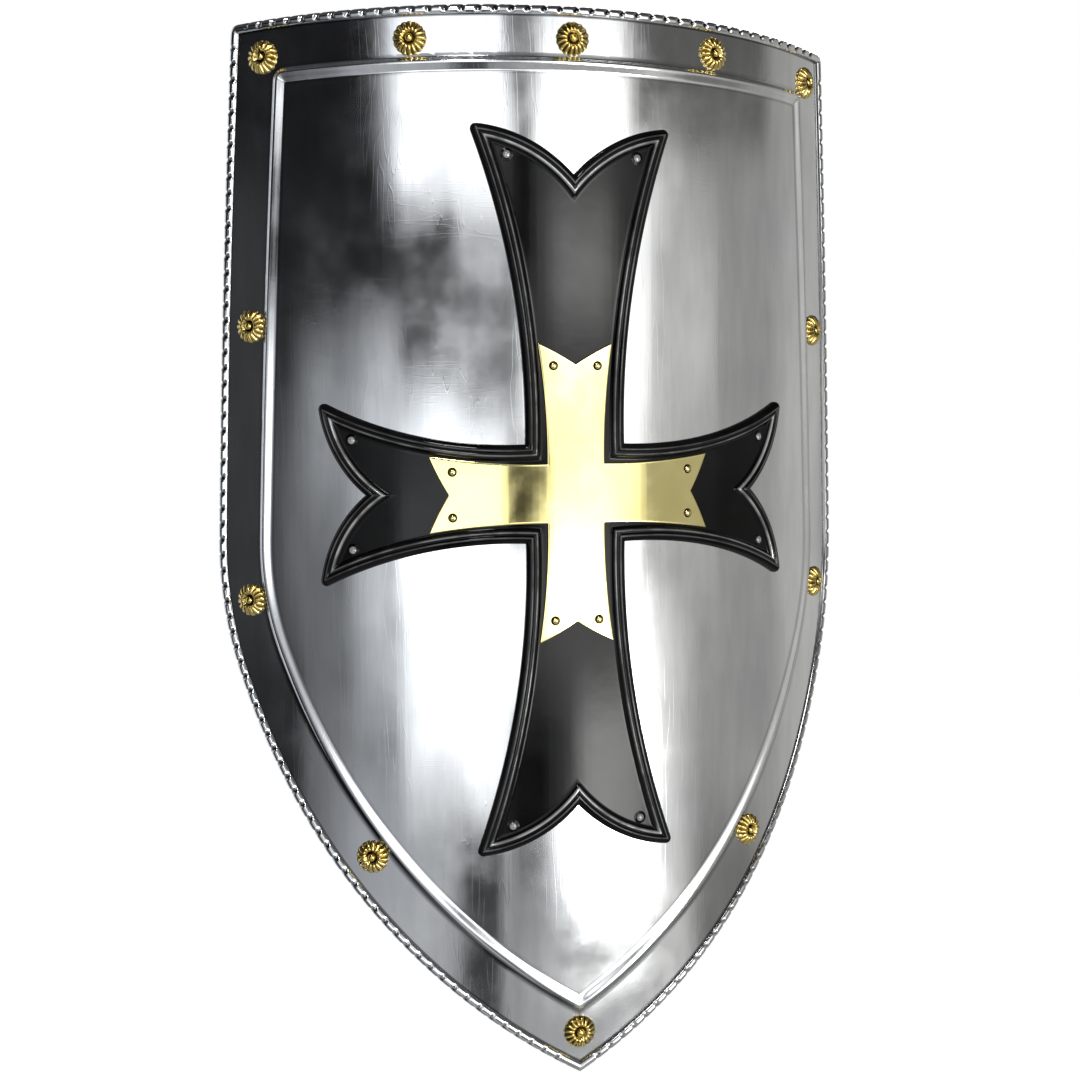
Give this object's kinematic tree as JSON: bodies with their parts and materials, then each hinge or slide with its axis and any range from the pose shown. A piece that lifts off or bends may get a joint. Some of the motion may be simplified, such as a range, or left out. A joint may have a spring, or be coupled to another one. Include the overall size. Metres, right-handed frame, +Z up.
{
  "type": "crusader shield",
  "caption": "Curved steel heater shield with a rolled rope edge, a black swallow-tailed cross under a brass one, brass rosettes and leather arm straps.",
  "frame": {"origin": "the middle of the wearer's forearm, 45 mm behind the plate's front face at the centre of the cross", "axes": "+Z up along the shield, -Y out of its front face, +X to the right seen from the front"},
  "size_m": [0.4512, 0.1229, 0.706],
  "materials": {
    "polished_steel": "polished steel sheet with faint rolling lines",
    "gloss_black": "gloss black enamel",
    "brass": "polished brass",
    "leather": "oiled brown strap leather",
    "steel_fittings": "dull steel"
  },
  "bodies": {
    "shield": {"arm_bracket_lower": "steel_fittings", "arm_bracket_upper": "steel_fittings", "black_cross": "gloss_black", "brass_cross": "brass", "brass_rivet_bottom_left": "brass", "brass_rivet_bottom_right": "brass", "brass_rivet_left_lower": "brass", "brass_rivet_left_upper": "brass", "brass_rivet_right_lower": "brass", "brass_rivet_right_upper": "brass", "brass_rivet_top_left": "brass", "brass_rivet_top_right": "brass", "buckle_strap": "leather", "buckle_strap_rivet": "steel_fittings", "cross_rivet_bottom_left": "gloss_black", "cross_rivet_bottom_right": "gloss_black", "cross_rivet_left_lower": "gloss_black", "cross_rivet_left_upper": "gloss_black", "cross_rivet_right_lower": "gloss_black", "cross_rivet_right_upper": "gloss_black", "cross_rivet_top_left": "gloss_black", "cross_rivet_top_right": "gloss_black", "grip_bracket_lower": "steel_fittings", "grip_bracket_upper": "steel_fittings", "grip_rivet_lower": "steel_fittings", "grip_rivet_upper": "steel_fittings", "hand_grip": "leather", "roped_rim": "polished_steel", "rosette_corner_left": "brass", "rosette_corner_right": "brass", "rosette_flank_left": "brass", "rosette_flank_right": "brass", "rosette_rivet_corner_left": "brass", "rosette_rivet_corner_right": "brass", "rosette_rivet_flank_left": "brass", "rosette_rivet_flank_right": "brass", "rosette_rivet_side_lower_left": "brass", "rosette_rivet_side_lower_right": "brass", "rosette_rivet_side_upper_left": "brass", "rosette_rivet_side_upper_right": "brass", "rosette_rivet_tip": "brass", "rosette_rivet_top_inner_left": "brass", "rosette_rivet_top_inner_right": "brass", "rosette_rivet_top_middle": "brass", "rosette_side_lower_left": "brass", "rosette_side_lower_right": "brass", "rosette_side_upper_left": "brass", "rosette_side_upper_right": "brass", "rosette_tip": "brass", "rosette_top_inner_left": "brass", "rosette_top_inner_right": "brass", "rosette_top_middle": "brass", "shield_plate": "polished_steel", "tail_strap": "leather", "tail_strap_rivet": "steel_fittings"},
    "buckle": {"buckle_frame": "steel_fittings"},
    "tongue": {"buckle_tongue": "steel_fittings"},
    "keeper": {"strap_keeper": "leather"}
  },
  "joints": [
    {"name": "buckle_hinge", "type": "hinge", "parent": "shield", "child": "buckle", "pos_m": [0.06516, 0.05868, 0], "axis": [0.9496, 0.3136, 0], "range_deg": [0, 15]},
    {"name": "tongue_hinge", "type": "hinge", "parent": "buckle", "child": "tongue", "pos_m": [0.06516, 0.05868, 0], "axis": [0.9496, 0.3136, 0], "range_deg": [0, 25]},
    {"name": "keeper_slide", "type": "slide", "parent": "shield", "child": "keeper", "axis": [0, 0, 1], "range_m": [-0.004, 0.012]}
  ]
}
